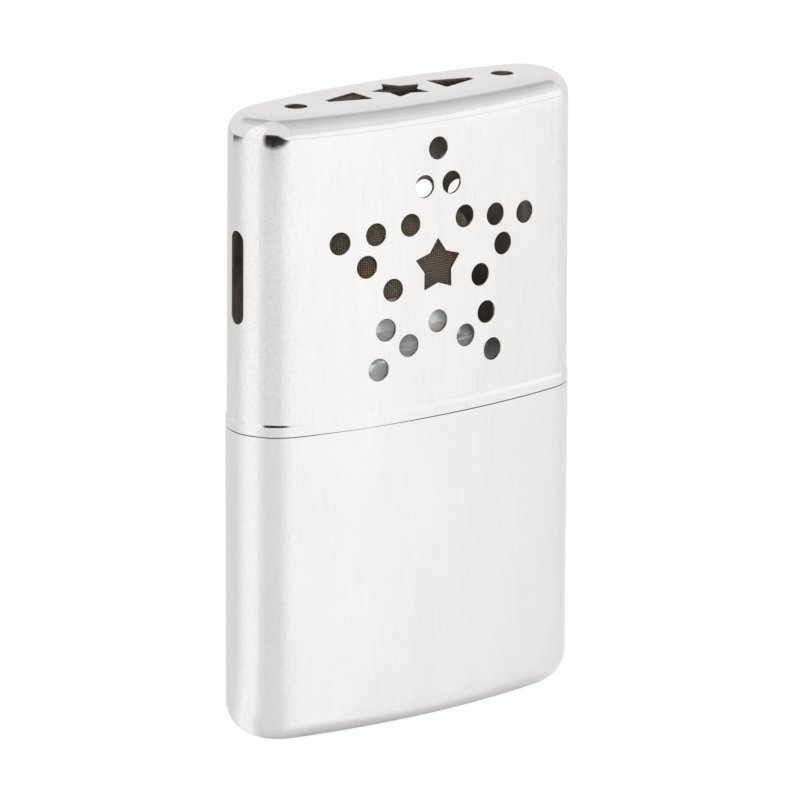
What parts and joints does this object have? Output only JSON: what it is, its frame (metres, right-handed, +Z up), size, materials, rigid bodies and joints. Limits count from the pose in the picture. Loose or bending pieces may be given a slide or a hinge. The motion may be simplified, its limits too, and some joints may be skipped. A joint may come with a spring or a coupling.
{
  "type": "catalytic hand warmer",
  "caption": "Pocket catalytic hand warmer: a drawn metal fuel tank with a gauze burner head under a vented slide-off lid.",
  "frame": {"origin": "centre of the flat bottom of the tank", "axes": "+Z up through the lid, +X along the width, the face seen in the picture looks towards -Y"},
  "size_m": [0.068, 0.0228, 0.1089],
  "materials": {
    "case_plate": "bright nickel plate on drawn sheet, polished to a soft satin",
    "inner_plate": "bright plate on pressed sheet",
    "gauze_wire": "heat-browned fine wire gauze",
    "plain_steel": "bare pressed steel",
    "cotton": "packed cotton fibre",
    "catalyst_fibre": "dark coated mineral fibre mat"
  },
  "bodies": {
    "tank": {"tank_shell": "case_plate", "lid_collar": "inner_plate", "tank_top": "inner_plate", "filler_neck": "inner_plate", "cotton_wadding": "cotton", "fuel_pad": "cotton"},
    "burner": {"burner_skirt": "inner_plate", "gauze_clamp": "plain_steel", "mat_grid": "plain_steel", "burner_gauze": "gauze_wire", "catalyst_mat": "catalyst_fibre"},
    "lid": {"lid_shell": "case_plate"}
  },
  "joints": [
    {"name": "lid_lift", "type": "slide", "parent": "tank", "child": "lid", "axis": [0, 0, 1], "range_m": [0, 0.06]},
    {"name": "burner_lift", "type": "slide", "parent": "tank", "child": "burner", "axis": [0, 0, 1], "range_m": [0, 0.012]}
  ]
}
